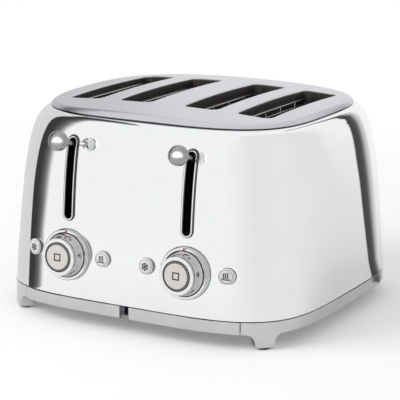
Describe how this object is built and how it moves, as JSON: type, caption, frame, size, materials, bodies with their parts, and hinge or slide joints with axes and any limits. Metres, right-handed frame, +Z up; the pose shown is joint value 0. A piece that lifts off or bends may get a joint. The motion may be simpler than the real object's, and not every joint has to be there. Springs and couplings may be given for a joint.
{
  "type": "four-slice toaster",
  "caption": "Mid-century style toaster with long bread slots in a crowned top plate, two ball levers, two browning dials and pull-out crumb trays.",
  "frame": {"origin": "on the surface that the toaster stands on, under the middle of the whole toaster, levers included", "axes": "+X to the right across the front, +Y towards the back, away from the controls, +Z up"},
  "size_m": [0.32, 0.3174, 0.206],
  "materials": {
    "polished_steel": "mirror-polished stainless steel",
    "brushed_steel": "fine satin brushing",
    "satin_metal": "satin die-casting",
    "galvanised_steel": "plain zinc-coated sheet",
    "bright_wire": "plated wire",
    "mica": "matt mica sheet with a wound ribbon",
    "pale_plastic": "satin moulded plastic",
    "black_plastic": "moulded heat-resistant plastic",
    "rubber": "moulded rubber",
    "circuit_board": "glass-fibre circuit board",
    "copper_coil": "enamelled copper winding"
  },
  "bodies": {
    "housing": {"body_skin": "polished_steel", "top_plate": "brushed_steel", "base_band": "satin_metal", "bottom_plate": "galvanised_steel", "front_frame": "galvanised_steel", "rear_frame": "galvanised_steel", "cord_inlet": "black_plastic", "left_front_foot_pad": "rubber", "left_rear_foot_pad": "rubber", "left_far_heater": "mica", "left_middle_heater": "mica", "left_near_heater": "mica", "left_lever_bezel": "polished_steel", "left_lever_channel": "black_plastic", "left_guide_rod": "bright_wire", "left_lift_spring": "bright_wire", "left_dial_ring": "polished_steel", "left_control_board": "circuit_board", "left_electromagnet": "copper_coil", "right_front_foot_pad": "rubber", "right_rear_foot_pad": "rubber", "right_far_heater": "mica", "right_middle_heater": "mica", "right_near_heater": "mica", "right_lever_bezel": "polished_steel", "right_lever_channel": "black_plastic", "right_guide_rod": "bright_wire", "right_lift_spring": "bright_wire", "right_dial_ring": "polished_steel", "right_control_board": "circuit_board", "right_electromagnet": "copper_coil"},
    "left_lever": {"left_carriage": "galvanised_steel", "left_lever_ball": "polished_steel", "left_outer_rack": "bright_wire", "left_inner_rack": "bright_wire"},
    "left_far_guards": {"left_outer_far_guard": "bright_wire", "left_inner_far_guard": "bright_wire"},
    "left_near_guards": {"left_outer_near_guard": "bright_wire", "left_inner_near_guard": "bright_wire"},
    "left_knob": {"left_browning_knob": "polished_steel"},
    "left_stop": {"left_stop_button": "pale_plastic"},
    "left_defrost": {"left_defrost_button": "pale_plastic"},
    "left_reheat": {"left_reheat_button": "pale_plastic"},
    "left_tray": {"left_crumb_tray": "galvanised_steel", "left_tray_front": "satin_metal"},
    "right_lever": {"right_carriage": "galvanised_steel", "right_lever_ball": "polished_steel", "right_outer_rack": "bright_wire", "right_inner_rack": "bright_wire"},
    "right_far_guards": {"right_outer_far_guard": "bright_wire", "right_inner_far_guard": "bright_wire"},
    "right_near_guards": {"right_outer_near_guard": "bright_wire", "right_inner_near_guard": "bright_wire"},
    "right_knob": {"right_browning_knob": "polished_steel"},
    "right_stop": {"right_stop_button": "pale_plastic"},
    "right_defrost": {"right_defrost_button": "pale_plastic"},
    "right_reheat": {"right_reheat_button": "pale_plastic"},
    "right_tray": {"right_crumb_tray": "galvanised_steel", "right_tray_front": "satin_metal"}
  },
  "joints": [
    {"name": "left_lever_slide", "type": "slide", "parent": "housing", "child": "left_lever", "axis": [0, 0, -1], "range_m": [0, 0.063], "stiffness_N_per_m": 60, "springref_m": -0.06, "deforming": ["left_lift_spring"]},
    {"name": "left_far_guards_slide", "type": "slide", "parent": "housing", "child": "left_far_guards", "axis": [1, 0, 0], "range_m": [0, 0.0063]},
    {"name": "left_near_guards_slide", "type": "slide", "parent": "housing", "child": "left_near_guards", "axis": [-1, 0, 0], "range_m": [0, 0.0063]},
    {"name": "left_knob_turn", "type": "hinge", "parent": "housing", "child": "left_knob", "pos_m": [-0.0635, -0.13669, 0.067], "axis": [0, -0.9981, 0.0623], "range_deg": [-135, 135]},
    {"name": "left_stop_press", "type": "slide", "parent": "housing", "child": "left_stop", "axis": [0, 0.9981, -0.0623], "range_m": [0, 0.002], "stiffness_N_per_m": 800, "springref_m": -0.001},
    {"name": "left_defrost_press", "type": "slide", "parent": "housing", "child": "left_defrost", "axis": [0, 0.9981, -0.0623], "range_m": [0, 0.0015], "stiffness_N_per_m": 600, "springref_m": -0.001},
    {"name": "left_reheat_press", "type": "slide", "parent": "housing", "child": "left_reheat", "axis": [0, 0.9981, -0.0623], "range_m": [0, 0.0015], "stiffness_N_per_m": 600, "springref_m": -0.001},
    {"name": "left_tray_slide", "type": "slide", "parent": "housing", "child": "left_tray", "axis": [0, -1, 0], "range_m": [0, 0.22]},
    {"name": "right_lever_slide", "type": "slide", "parent": "housing", "child": "right_lever", "axis": [0, 0, -1], "range_m": [0, 0.063], "stiffness_N_per_m": 60, "springref_m": -0.06, "deforming": ["right_lift_spring"]},
    {"name": "right_far_guards_slide", "type": "slide", "parent": "housing", "child": "right_far_guards", "axis": [-1, 0, 0], "range_m": [0, 0.0063]},
    {"name": "right_near_guards_slide", "type": "slide", "parent": "housing", "child": "right_near_guards", "axis": [1, 0, 0], "range_m": [0, 0.0063]},
    {"name": "right_knob_turn", "type": "hinge", "parent": "housing", "child": "right_knob", "pos_m": [0.0635, -0.13669, 0.067], "axis": [0, -0.9981, 0.0623], "range_deg": [-135, 135]},
    {"name": "right_stop_press", "type": "slide", "parent": "housing", "child": "right_stop", "axis": [0, 0.9981, -0.0623], "range_m": [0, 0.002], "stiffness_N_per_m": 800, "springref_m": -0.001},
    {"name": "right_defrost_press", "type": "slide", "parent": "housing", "child": "right_defrost", "axis": [0, 0.9981, -0.0623], "range_m": [0, 0.0015], "stiffness_N_per_m": 600, "springref_m": -0.001},
    {"name": "right_reheat_press", "type": "slide", "parent": "housing", "child": "right_reheat", "axis": [0, 0.9981, -0.0623], "range_m": [0, 0.0015], "stiffness_N_per_m": 600, "springref_m": -0.001},
    {"name": "right_tray_slide", "type": "slide", "parent": "housing", "child": "right_tray", "axis": [0, -1, 0], "range_m": [0, 0.22]}
  ],
  "couplings": [
    {"joint": "left_far_guards_slide", "follows": "left_lever_slide", "ratio": 0.1},
    {"joint": "left_near_guards_slide", "follows": "left_lever_slide", "ratio": 0.1},
    {"joint": "right_far_guards_slide", "follows": "right_lever_slide", "ratio": 0.1},
    {"joint": "right_near_guards_slide", "follows": "right_lever_slide", "ratio": 0.1}
  ]
}
